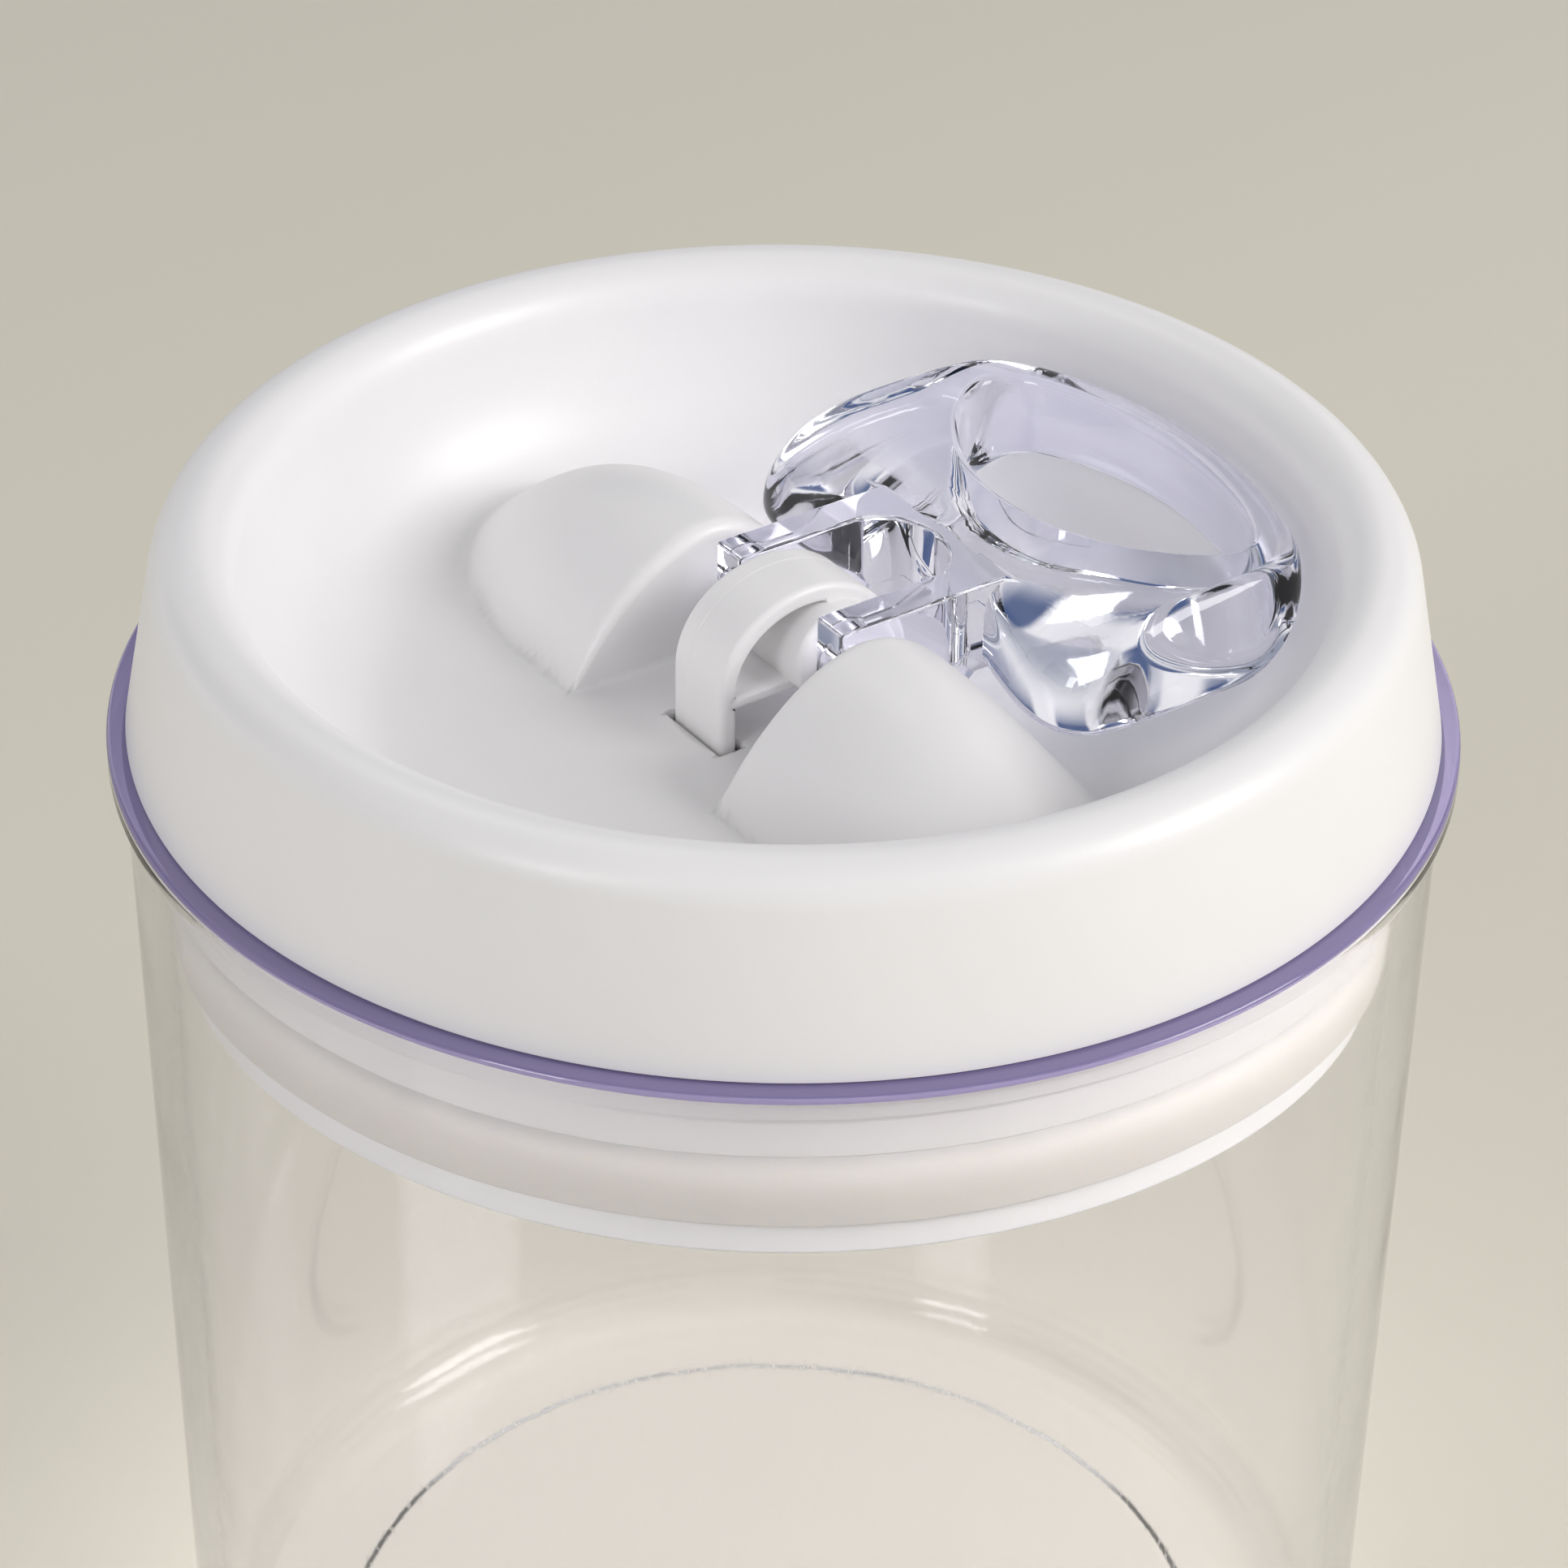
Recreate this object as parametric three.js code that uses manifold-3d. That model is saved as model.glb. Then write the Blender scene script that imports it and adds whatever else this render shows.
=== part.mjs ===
// Round food storage canister with a flip-lock lid.
// Millimetres, +Z up. The origin is the centre of the jar's base, and the lever lies along +X.
//
// A clear jar is closed by a dished lid. Under the lid a silicone ring sits between the lid's base
// and a plunger. A yoke on the plunger comes up through the dish and carries the lever's axle.
// The lever's two arms are cams that stand on the dish: laid flat they hold the yoke up, which
// squeezes the ring against the jar, and turned upright they let it down again.

import * as THREE from 'three';
import { ConvexGeometry } from 'three/addons/geometries/ConvexGeometry.js';
import { mergeVertices } from 'three/addons/utils/BufferGeometryUtils.js';
import Module from 'manifold-3d';

const wasm = await Module();
wasm.setup();

// Jar
const JAR_HEIGHT = 126;
const JAR_RADIUS = 64.5; // outside of the wall, just under the rim
const JAR_WALL = 3.1;
const JAR_DRAFT = THREE.MathUtils.degToRad(0.9); // the wall narrows towards the base
const JAR_BASE = 4.5;
const JAR_CORNER = 7; // outer round between wall and base
const FOOT_WIDTH = 8;
const FOOT_RECESS = 0.8;
const RIM_FLARE = 1.4; // how far the rim stands out of the wall
const RIM_THICKNESS = 2.4;

// Lid cover
const RIM_STEP = 1.9; // width of rim that shows round the lid's foot
const LID_HEIGHT = 19.7; // top of the lip above the rim
const LIP_ROUND = 4.3; // radius of the rolled lip
const LIP_INSET = 7.2; // the lip's centre line lies inside the lid's foot by this
const DISH_DEPTH = 20.4; // top of the lip to the dish floor
const DISH_FILLET = 14.5; // width of the sweep from floor to lip
const COVER_WALL = 2.4;

// Humps beside the lever's arms
const HUMP_GAP = 24.9; // between the two flat faces
const HUMP_HEIGHT = 13.8; // above the dish floor
const HUMP_HALF_WIDTH = 16.5;
const HUMP_LENGTH = 33;
const HUMP_FULLNESS = 1.25; // power that shapes the bell's flanks

// Lid base, the plug that closes the lid from below
const PLUG_DEPTH = 9.5; // below the rim
const PLUG_RISE = 3; // above the rim, inside the skirt
const PLUG_WALL = 2.2;
const PLUG_CLEARANCE = 0.7; // to the jar

// Sealing ring
const RING_HEIGHT = 9.2; // space between lid base and plunger flange when locked
const RING_WIDTH = 8; // radially
const RING_BULGE = 1.6;

// Plunger
const FLANGE_THICKNESS = 2.8;
const FLANGE_INSET = 1.8; // to the jar
const FLANGE_ROUND = 1.2;
const COLLAR_HEIGHT = 6.2;
const COLLAR_WALL = 2.4;
const SOCKET_HEIGHT = 5.5;
const SOCKET_WALL = 2;

// Yoke
const YOKE_WIDTH = 8.4;
const YOKE_SPAN = 20.6; // outside of one leg to outside of the other
const STRAP = 2;
const YOKE_CROWN = 14.9; // top of the arch above the dish floor
const ARCH_RISE = 9.2; // top of the arch above the straight legs
const BEAM_RISE = 4; // underside of the cross beam above the dish floor
const BEAM = 1.5;
const BARREL_RADIUS = 5.3;

// Lever and axle
const AXLE_RADIUS = 1.6;
const AXLE_X = 2.6;
const CAM_HIGH = 7.1; // axle to dish with the lever flat
const CAM_LOW = 3.5; // axle to dish with the lever upright
const ARM_SPACE = 12.8; // between the arms
const ARM_WIDTH = 4.3;
const ARM_TOP = 5.9; // above the axle
const ARM_FLAT = 7; // length of the arm's flat sole beyond the cam
const ARM_HEEL = 3.4; // length of the slope from the sole up to the lever's underside
const ARM_ROOT = 4; // how far the arms reach into the lever behind the notch
const NOTCH_END = 17.8;
const NOTCH_ROUND = 5;
const LEVER_START = 13.1; // the lever's front where it is widest
const LEVER_HALF_WIDTH = 28.1; // where it is widest, just above the underside
const LEVER_TAPER = 1.9; // how far the sides lean in towards the top
const LEVER_TOP = 14.7; // above the dish floor
const LEVER_UNDERSIDE = 3.5; // above the dish floor
const LEVER_END_GAP = 1.5; // round end to the lip
const LEVER_DISH_GAP = 1.2; // underside to the swept side of the dish
const LEVER_CORNER = 8;
const LEVER_SHOULDER = 10; // round between side and end
const LEVER_FOOT_ROUND = 2.2; // lower edge
const LEVER_TOP_ROUND = 1.5; // upper edge
const BROW_LENGTH = 12.1; // the curved front of the lever, along it
const FRONT_HOLLOW = 2.9; // how far the front lies back beside the arms
const FRONT_HOLLOW_HALF = 21; // half the hollow's width, from corner to corner
const HOLE_START = 26.7;
const HOLE_FRONT_RADIUS = 24.6;
const HOLE_CORNER = 7.5; // at most, in a hole that is deep enough for it
const HOLE_CORNER_SHARE = 0.45; // of the hole's depth, where the hole is shallow
const HOLE_RING = 3.2; // lever left outside the finger hole

// Fits
const SEAT = 0.3; // between pieces that rest on each other
const SLOT_CLEARANCE = 0.6; // round the yoke's legs

// Facets
const AROUND = 64;
const HUMP_AROUND = 40;
const ROUND_STEPS = 8;

// Levels and radii that follow from the sizes above
const RIM_RADIUS = JAR_RADIUS + RIM_FLARE;
const LID_RADIUS = RIM_RADIUS - RIM_STEP;
const LID_FOOT = JAR_HEIGHT + SEAT;
const LIP_RADIUS = LID_RADIUS - LIP_INSET;
const LIP_LEVEL = JAR_HEIGHT + LID_HEIGHT - LIP_ROUND;
const DISH_RADIUS = LIP_RADIUS - LIP_ROUND;
const DISH_FLAT = DISH_RADIUS - DISH_FILLET;
const FLOOR = JAR_HEIGHT + LID_HEIGHT - DISH_DEPTH;
const SWEEP_HEIGHT = LIP_LEVEL - FLOOR;
const PLUG_BOTTOM = JAR_HEIGHT - PLUG_DEPTH;
const FLANGE_TOP = PLUG_BOTTOM - RING_HEIGHT;
const FLANGE_BOTTOM = FLANGE_TOP - FLANGE_THICKNESS;
const AXLE_Z = FLOOR + SEAT + CAM_HIGH;
const LEVER_END_RADIUS = DISH_RADIUS - LEVER_END_GAP;
const FORK_HALF_WIDTH = ARM_SPACE / 2 + ARM_WIDTH;
const LEG_INSIDE = YOKE_SPAN / 2 - STRAP;
const LEG_CENTRE = YOKE_SPAN / 2 - STRAP / 2;

const wallRadius = (z) => JAR_RADIUS - (JAR_HEIGHT - z) * Math.tan(JAR_DRAFT);
const boreRadius = (z) => wallRadius(z) - JAR_WALL;

const RING_RADIUS = boreRadius(FLANGE_TOP) - SEAT;
const FLANGE_RADIUS = boreRadius(FLANGE_BOTTOM) - FLANGE_INSET;
const COLLAR_RADIUS = RING_RADIUS - RING_WIDTH - SEAT;

// Solids from three.js geometry, and back

function solid(geometry) {
  geometry.deleteAttribute('normal');
  geometry.deleteAttribute('uv');
  const merged = mergeVertices(geometry);
  const index = merged.index.array;
  const triangles = [];
  for (let i = 0; i < index.length; i += 3) {
    const [a, b, c] = index.subarray(i, i + 3);
    if (a !== b && b !== c && c !== a) triangles.push(a, b, c);
  }
  return new wasm.Manifold(new wasm.Mesh({
    numProp: 3,
    vertProperties: merged.attributes.position.array,
    triVerts: new Uint32Array(triangles),
  }));
}

function piece(name, body, look) {
  const { vertProperties, triVerts } = body.getMesh();
  const geometry = new THREE.BufferGeometry();
  geometry.setAttribute('position', new THREE.BufferAttribute(vertProperties, 3));
  geometry.setIndex(new THREE.BufferAttribute(triVerts, 1));
  geometry.computeVertexNormals();
  const mesh = new THREE.Mesh(geometry, new THREE.MeshStandardMaterial(look));
  mesh.name = name;
  return mesh;
}

// A profile of [radius, z] points, turned about the Z axis. It runs anticlockwise.
function turned(profile, segments = AROUND) {
  const points = profile.map(([r, z]) => new THREE.Vector2(Math.max(r, 0), z));
  const closed = points[0].x > 0 ? [...points, points[0]] : points;
  return solid(new THREE.LatheGeometry(closed, segments).rotateX(Math.PI / 2));
}

// An outline seen from above, between two levels.
function upright(shape, bottom, top) {
  const geometry = new THREE.ExtrudeGeometry(shape, { depth: top - bottom, bevelEnabled: false });
  return solid(geometry.translate(0, 0, bottom));
}

// An outline seen from the side, in X and Z, with its thickness along Y about the middle.
function sideways(shape, thickness) {
  const geometry = new THREE.ExtrudeGeometry(shape, { depth: thickness, bevelEnabled: false });
  return solid(geometry.rotateX(Math.PI / 2).translate(0, thickness / 2, 0));
}

function block(x0, x1, y0, y1, z0, z1) {
  const box = new THREE.BoxGeometry(x1 - x0, y1 - y0, z1 - z0);
  return solid(box.translate((x0 + x1) / 2, (y0 + y1) / 2, (z0 + z1) / 2));
}

// A round bar along Y on the lever's axis.
function axisBar(radius, length) {
  const bar = new THREE.CylinderGeometry(radius, radius, length, 2 * ROUND_STEPS);
  return solid(bar.translate(AXLE_X, 0, AXLE_Z));
}

function shapeFrom(points) {
  return new THREE.Shape(points.map(([x, y]) => new THREE.Vector2(x, y)));
}

// Points on an ellipse from one angle to another, both ends included.
function arc(cx, cy, rx, ry, from, to, steps) {
  const points = [];
  for (let i = 0; i <= steps; i += 1) {
    const angle = from + (to - from) * i / steps;
    points.push([cx + rx * Math.cos(angle), cy + ry * Math.sin(angle)]);
  }
  return points;
}

// Jar: one clear moulding with a drafted wall, a flared rim and a foot ring under the base

function jarBody() {
  const cornerRadius = wallRadius(JAR_CORNER) - JAR_CORNER;
  const footInside = cornerRadius - FOOT_WIDTH;
  const innerRound = JAR_CORNER - JAR_WALL;
  const innerCorner = boreRadius(JAR_BASE + innerRound) - innerRound;
  const rimUnderside = JAR_HEIGHT - RIM_THICKNESS;
  const flareStart = rimUnderside - RIM_FLARE;
  return turned([
    [0, FOOT_RECESS],
    [footInside, FOOT_RECESS],
    [footInside + FOOT_RECESS, 0],
    ...arc(cornerRadius, JAR_CORNER, JAR_CORNER, JAR_CORNER, -Math.PI / 2, 0, ROUND_STEPS / 2),
    [wallRadius(flareStart), flareStart],
    [RIM_RADIUS, rimUnderside],
    [RIM_RADIUS, JAR_HEIGHT],
    [boreRadius(JAR_HEIGHT), JAR_HEIGHT],
    ...arc(innerCorner, JAR_BASE + innerRound, innerRound, innerRound,
      0, -Math.PI / 2, ROUND_STEPS / 2),
    [0, JAR_BASE],
  ]);
}

// Lid cover: a dished shell with a rolled lip, a leaning skirt and two hollow humps

// The skirt is the straight line from the lid's foot that touches the lip.
const footToLip = Math.hypot(LIP_INSET, LIP_LEVEL - LID_FOOT);
const SKIRT_LEAN = Math.atan2(LIP_INSET, LIP_LEVEL - LID_FOOT) - Math.asin(LIP_ROUND / footToLip);
const SKIRT_INSIDE = LID_RADIUS - COVER_WALL / Math.cos(SKIRT_LEAN);
const skirtInside = (z) => SKIRT_INSIDE - (z - LID_FOOT) * Math.tan(SKIRT_LEAN);

// The dish's swept side, moved out of the dish by an offset.
function sweep(offset, steps) {
  const rx = DISH_FILLET + offset;
  const rz = SWEEP_HEIGHT + offset;
  return arc(DISH_FLAT, LIP_LEVEL, rx, rz, -Math.PI / 2, 0, steps);
}

// The space above the dish, down to an offset from its surface.
function dishSpace(offset) {
  const above = LIP_LEVEL + LID_HEIGHT;
  return turned([
    [0, FLOOR - offset],
    ...sweep(offset, ROUND_STEPS),
    [DISH_RADIUS + offset, above],
    [0, above],
  ]);
}

// A bell turned about the Z axis, drawn out along Y and cut off flat at the lever's side, just past
// the bell's middle.
function hump(side, inset) {
  const halfWidth = HUMP_HALF_WIDTH - inset;
  const base = FLOOR - COVER_WALL - inset;
  const profile = [[0, base], [halfWidth, base]];
  for (let i = 0; i <= ROUND_STEPS; i += 1) {
    const share = Math.cos(Math.PI / 2 * i / ROUND_STEPS);
    const rise = HUMP_HEIGHT * (1 - share ** 2) ** HUMP_FULLNESS;
    profile.push([halfWidth * share, FLOOR - inset + rise]);
  }
  const stretch = (HUMP_LENGTH - inset) / halfWidth;
  const face = HUMP_GAP / 2 + inset;
  const bell = turned(profile, HUMP_AROUND)
    .scale([1, stretch, 1])
    .translate([0, side * (HUMP_GAP / 2 - SEAT), 0]);
  const reach = face + HUMP_LENGTH;
  const [near, far] = side > 0 ? [face, reach] : [-reach, -face];
  return bell.intersect(block(-HUMP_HALF_WIDTH, HUMP_HALF_WIDTH, near, far, base, LIP_LEVEL + LID_HEIGHT));
}

// The openings that the yoke's legs pass through.
function legSlots(bottom, top) {
  const halfX = STRAP / 2 + SLOT_CLEARANCE;
  const halfY = YOKE_WIDTH / 2 + SLOT_CLEARANCE;
  const slot = (x) => block(x - halfX, x + halfX, -halfY, halfY, bottom, top);
  return slot(-LEG_CENTRE).add(slot(LEG_CENTRE));
}

function lidCover() {
  const lipInside = LIP_ROUND - COVER_WALL;
  const shell = turned([
    [0, FLOOR - COVER_WALL],
    ...sweep(COVER_WALL, ROUND_STEPS),
    ...arc(LIP_RADIUS, LIP_LEVEL, lipInside, lipInside, Math.PI, SKIRT_LEAN, ROUND_STEPS / 2),
    [SKIRT_INSIDE, LID_FOOT],
    [LID_RADIUS, LID_FOOT],
    ...arc(LIP_RADIUS, LIP_LEVEL, LIP_ROUND, LIP_ROUND, SKIRT_LEAN, Math.PI, ROUND_STEPS),
    ...sweep(0, ROUND_STEPS).reverse().slice(1),
    [0, FLOOR],
  ]);
  const space = dishSpace(COVER_WALL / 2);
  let cover = shell;
  for (const side of [-1, 1]) {
    cover = cover.add(hump(side, 0).intersect(space)).subtract(hump(side, COVER_WALL));
  }
  return cover.subtract(legSlots(FLOOR - 2 * COVER_WALL, FLOOR + SEAT));
}

// Lid base: a shallow cup pushed up into the skirt, slotted for the yoke

function lidBase() {
  const plugRadius = boreRadius(PLUG_BOTTOM) - PLUG_CLEARANCE;
  const top = JAR_HEIGHT + PLUG_RISE;
  const topRadius = skirtInside(top) - SEAT;
  const cup = turned([
    [0, PLUG_BOTTOM],
    [plugRadius, PLUG_BOTTOM],
    [plugRadius, JAR_HEIGHT],
    [topRadius, top],
    [topRadius - PLUG_WALL, top],
    [plugRadius - PLUG_WALL, JAR_HEIGHT],
    [plugRadius - PLUG_WALL, PLUG_BOTTOM + PLUG_WALL],
    [0, PLUG_BOTTOM + PLUG_WALL],
  ]);
  return cup.subtract(legSlots(PLUG_BOTTOM - SEAT, PLUG_BOTTOM + 2 * PLUG_WALL));
}

// Sealing ring: a silicone ring with a bulged outside that meets the jar

function sealingRing() {
  const bottom = FLANGE_TOP + SEAT;
  const top = PLUG_BOTTOM - SEAT;
  const middle = (bottom + top) / 2;
  const edge = RING_RADIUS - RING_BULGE;
  return turned([
    [RING_RADIUS - RING_WIDTH, bottom],
    ...arc(edge, middle, RING_BULGE, (top - bottom) / 2, -Math.PI / 2, Math.PI / 2, ROUND_STEPS),
    [RING_RADIUS - RING_WIDTH, top],
  ]);
}

// Plunger: a round flange under the ring, a collar inside the ring and two sockets for the legs

function plungerPlate() {
  const edge = FLANGE_RADIUS - FLANGE_ROUND;
  const round = (level, from, to) => (
    arc(edge, level, FLANGE_ROUND, FLANGE_ROUND, from, to, ROUND_STEPS / 2)
  );
  const collarTop = FLANGE_TOP + COLLAR_HEIGHT;
  let plate = turned([
    [0, FLANGE_BOTTOM],
    ...round(FLANGE_BOTTOM + FLANGE_ROUND, -Math.PI / 2, 0),
    ...round(FLANGE_TOP - FLANGE_ROUND, 0, Math.PI / 2),
    [COLLAR_RADIUS, FLANGE_TOP],
    [COLLAR_RADIUS, collarTop],
    [COLLAR_RADIUS - COLLAR_WALL, collarTop],
    [COLLAR_RADIUS - COLLAR_WALL, FLANGE_TOP],
    [0, FLANGE_TOP],
  ]);
  const socketTop = FLANGE_TOP + SOCKET_HEIGHT;
  const pocketX = STRAP / 2 + SEAT;
  const pocketY = YOKE_WIDTH / 2 + SEAT;
  const bossX = pocketX + SOCKET_WALL;
  const bossY = pocketY + SOCKET_WALL;
  const inFlange = FLANGE_TOP - FLANGE_THICKNESS / 2;
  for (const x of [-LEG_CENTRE, LEG_CENTRE]) {
    const boss = block(x - bossX, x + bossX, -bossY, bossY, inFlange, socketTop);
    const pocket = block(x - pocketX, x + pocketX, -pocketY, pocketY, FLANGE_TOP, socketTop + SEAT);
    plate = plate.add(boss).subtract(pocket);
  }
  return plate;
}

// Yoke: an arched strap with a cross beam, a barrel for the axle and two legs down to the plunger

function plungerYoke() {
  const outside = YOKE_SPAN / 2;
  const archLevel = FLOOR + YOKE_CROWN - ARCH_RISE;
  const legEnd = FLANGE_TOP + SEAT;
  const beamBottom = FLOOR + BEAM_RISE;
  const arch = (half, rise, bottom) => shapeFrom([
    [-half, bottom],
    [half, bottom],
    ...arc(0, archLevel, half, rise, 0, Math.PI, 2 * ROUND_STEPS),
  ]);
  const chord = Math.asin((beamBottom + BEAM / 2 - AXLE_Z) / BARREL_RADIUS);
  const barrel = shapeFrom(
    arc(AXLE_X, AXLE_Z, BARREL_RADIUS, BARREL_RADIUS, chord, Math.PI - chord, 2 * ROUND_STEPS),
  );
  const halfWidth = YOKE_WIDTH / 2;
  return sideways(arch(outside, ARCH_RISE, legEnd), YOKE_WIDTH)
    .subtract(sideways(arch(LEG_INSIDE, ARCH_RISE - STRAP, legEnd - SEAT), 2 * YOKE_WIDTH))
    .add(block(-LEG_CENTRE, LEG_CENTRE, -halfWidth, halfWidth, beamBottom, beamBottom + BEAM))
    .add(sideways(barrel, ARM_SPACE - 2 * SEAT))
    .subtract(axisBar(AXLE_RADIUS + SEAT, 2 * ARM_SPACE));
}

// Lever: a D-shaped clear moulding with a finger hole and a fork of two cam arms

// The cam's distance from axle to dish falls evenly as the lever turns from flat to upright.
function camOutline() {
  const fall = (CAM_HIGH - CAM_LOW) / (Math.PI / 2);
  const cam = [];
  for (let i = 0; i <= ROUND_STEPS; i += 1) {
    const turn = Math.PI / 2 * i / ROUND_STEPS;
    const reach = CAM_HIGH - fall * turn;
    cam.push([
      AXLE_X - reach * Math.sin(turn) + fall * Math.cos(turn),
      AXLE_Z - reach * Math.cos(turn) - fall * Math.sin(turn),
    ]);
  }
  const sole = AXLE_Z - CAM_HIGH;
  const soleEnd = AXLE_X + fall + ARM_FLAT;
  const top = AXLE_Z + ARM_TOP;
  const root = NOTCH_END + ARM_ROOT;
  return shapeFrom([
    [AXLE_X - CAM_LOW, top],
    ...cam.reverse(),
    [soleEnd, sole],
    [soleEnd + ARM_HEEL, FLOOR + LEVER_UNDERSIDE],
    [root, FLOOR + LEVER_UNDERSIDE],
    [root, top],
  ]);
}

// The D seen from above: straight sides, and an end that follows the lip. The inset draws in its
// front and sides, the end inset its end.
function leverOutline(inset, endInset) {
  const half = LEVER_HALF_WIDTH - inset;
  const end = LEVER_END_RADIUS - endInset;
  const cornerY = half - LEVER_CORNER;
  const cornerX = LEVER_START + inset + LEVER_CORNER;
  const shoulderY = half - LEVER_SHOULDER;
  const shoulderX = Math.sqrt((end - LEVER_SHOULDER) ** 2 - shoulderY ** 2);
  const turn = Math.atan2(shoulderY, shoulderX);
  const quarter = Math.PI / 2;
  const corner = (y, from) => (
    arc(cornerX, y, LEVER_CORNER, LEVER_CORNER, from, from + quarter, ROUND_STEPS / 2)
  );
  const shoulder = (y, from, to) => (
    arc(shoulderX, y, LEVER_SHOULDER, LEVER_SHOULDER, from, to, ROUND_STEPS / 2)
  );
  return [
    ...corner(-cornerY, Math.PI),
    ...shoulder(-shoulderY, -quarter, -turn),
    ...arc(0, 0, end, end, -turn, turn, 2 * ROUND_STEPS).slice(1, -1),
    ...shoulder(shoulderY, turn, quarter),
    ...corner(cornerY, quarter),
  ];
}

// The D as a rounded block: outlines from its underside, over its widest level, to its top.
function leverBlock() {
  const widest = LEVER_UNDERSIDE + LEVER_FOOT_ROUND;
  const shoulder = LEVER_TOP - LEVER_TOP_ROUND;
  const points = [];
  const outlineAt = (height, inset, endInset) => {
    for (const [x, y] of leverOutline(inset, endInset)) points.push(new THREE.Vector3(x, y, FLOOR + height));
  };
  for (const [across, up] of arc(LEVER_FOOT_ROUND, widest, -LEVER_FOOT_ROUND, -LEVER_FOOT_ROUND,
    Math.PI / 2, 0, ROUND_STEPS / 2)) {
    outlineAt(up, across, 0);
  }
  for (const [across, up] of arc(LEVER_TOP_ROUND, shoulder, -LEVER_TOP_ROUND, LEVER_TOP_ROUND,
    0, Math.PI / 2, ROUND_STEPS / 2)) {
    outlineAt(up, LEVER_TAPER + across, across);
  }
  return solid(new ConvexGeometry(points));
}

// The D seen from the side: a front that curves up and back to a flat top.
function leverSide() {
  const top = FLOOR + LEVER_TOP;
  const widest = FLOOR + LEVER_UNDERSIDE + LEVER_FOOT_ROUND;
  return shapeFrom([
    [LEVER_END_RADIUS + LEVER_END_GAP, FLOOR],
    [LEVER_END_RADIUS + LEVER_END_GAP, top + LEVER_TOP_ROUND],
    [LEVER_START + BROW_LENGTH, top + LEVER_TOP_ROUND],
    ...arc(LEVER_START + BROW_LENGTH, widest, BROW_LENGTH, top - widest,
      Math.PI / 2, Math.PI, ROUND_STEPS),
    [LEVER_START - LEVER_FOOT_ROUND, widest],
    [LEVER_START - LEVER_FOOT_ROUND, FLOOR],
  ]);
}

// The shallow hollow in the lever's front: its two lobes slant back towards the arms.
function frontHollow() {
  const back = LEVER_START + FRONT_HOLLOW;
  return shapeFrom([
    [AXLE_X, -FRONT_HOLLOW_HALF],
    [LEVER_START, -FRONT_HOLLOW_HALF],
    [back, -FORK_HALF_WIDTH],
    [back, FORK_HALF_WIDTH],
    [LEVER_START, FRONT_HOLLOW_HALF],
    [AXLE_X, FRONT_HOLLOW_HALF],
  ]);
}

// The finger hole: a front arc, an outer arc along the lever's end, and two round corners.
function fingerHole() {
  const outer = LEVER_END_RADIUS - HOLE_RING;
  const frontX = HOLE_START + HOLE_FRONT_RADIUS;
  const round = Math.min(HOLE_CORNER, HOLE_CORNER_SHARE * (outer - HOLE_START));
  const toOuter = outer - round;
  const toFront = HOLE_FRONT_RADIUS - round;
  const cornerX = (frontX ** 2 + toOuter ** 2 - toFront ** 2) / (2 * frontX);
  const cornerY = Math.sqrt(toOuter ** 2 - cornerX ** 2);
  const outerTurn = Math.atan2(cornerY, cornerX);
  const frontTurn = Math.atan2(cornerY, cornerX - frontX);
  const corner = (y, from, to) => (
    arc(cornerX, y, round, round, from, to, ROUND_STEPS)
  );
  return shapeFrom([
    ...arc(0, 0, outer, outer, -outerTurn, outerTurn, ROUND_STEPS),
    ...corner(cornerY, outerTurn, frontTurn).slice(1),
    ...arc(frontX, 0, HOLE_FRONT_RADIUS, HOLE_FRONT_RADIUS,
      frontTurn, 2 * Math.PI - frontTurn, ROUND_STEPS).slice(1),
    ...corner(-cornerY, -frontTurn, -outerTurn).slice(1, -1),
  ]);
}

// The slot between the arms, with a round end.
function notchOutline() {
  const half = ARM_SPACE / 2;
  const straightEnd = NOTCH_END - NOTCH_ROUND;
  const open = AXLE_X - 2 * CAM_HIGH;
  return shapeFrom([
    [open, -half],
    ...arc(straightEnd, 0, NOTCH_ROUND, half, -Math.PI / 2, Math.PI / 2, 2 * ROUND_STEPS),
    [open, half],
  ]);
}

function lever() {
  const low = FLOOR;
  const high = FLOOR + 2 * LEVER_TOP;
  const paddle = leverBlock()
    .intersect(sideways(leverSide(), 2 * LEVER_END_RADIUS))
    .subtract(upright(frontHollow(), low, high))
    .intersect(dishSpace(-LEVER_DISH_GAP));
  const fork = sideways(camOutline(), 2 * FORK_HALF_WIDTH);
  return paddle
    .add(fork)
    .subtract(upright(notchOutline(), low, high))
    .subtract(upright(fingerHole(), low, high))
    .subtract(axisBar(AXLE_RADIUS + SEAT, 4 * FORK_HALF_WIDTH));
}

// Axle: a plain pin through both arms and the yoke's barrel

function leverAxle() {
  return axisBar(AXLE_RADIUS, 2 * FORK_HALF_WIDTH - 2 * SEAT);
}

// Assembly

const white = { color: 0xe9e9ec, roughness: 0.38, metalness: 0 };
const clear = { color: 0xe6e4f2, roughness: 0.08, metalness: 0, transparent: true, opacity: 0.35 };

const lid = new THREE.Group();
lid.add(piece('lid_cover', lidCover(), white));
lid.add(piece('lid_base', lidBase(), white));

const plunger = new THREE.Group();
plunger.add(piece('plunger_plate', plungerPlate(), white));
plunger.add(piece('plunger_yoke', plungerYoke(), white));
plunger.add(piece('sealing_ring', sealingRing(), { color: 0xe4e0d8, roughness: 0.55, metalness: 0 }));

const flipLever = new THREE.Group();
flipLever.add(piece('flip_lever', lever(), clear));
flipLever.add(piece('lever_axle', leverAxle(), { color: 0xd2d2d6, roughness: 0.3, metalness: 0.9 }));

const canister = new THREE.Group();
canister.add(piece('jar_body', jarBody(), clear));
lid.add(plunger);
plunger.add(flipLever);
canister.add(lid);

export default canister;
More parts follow.
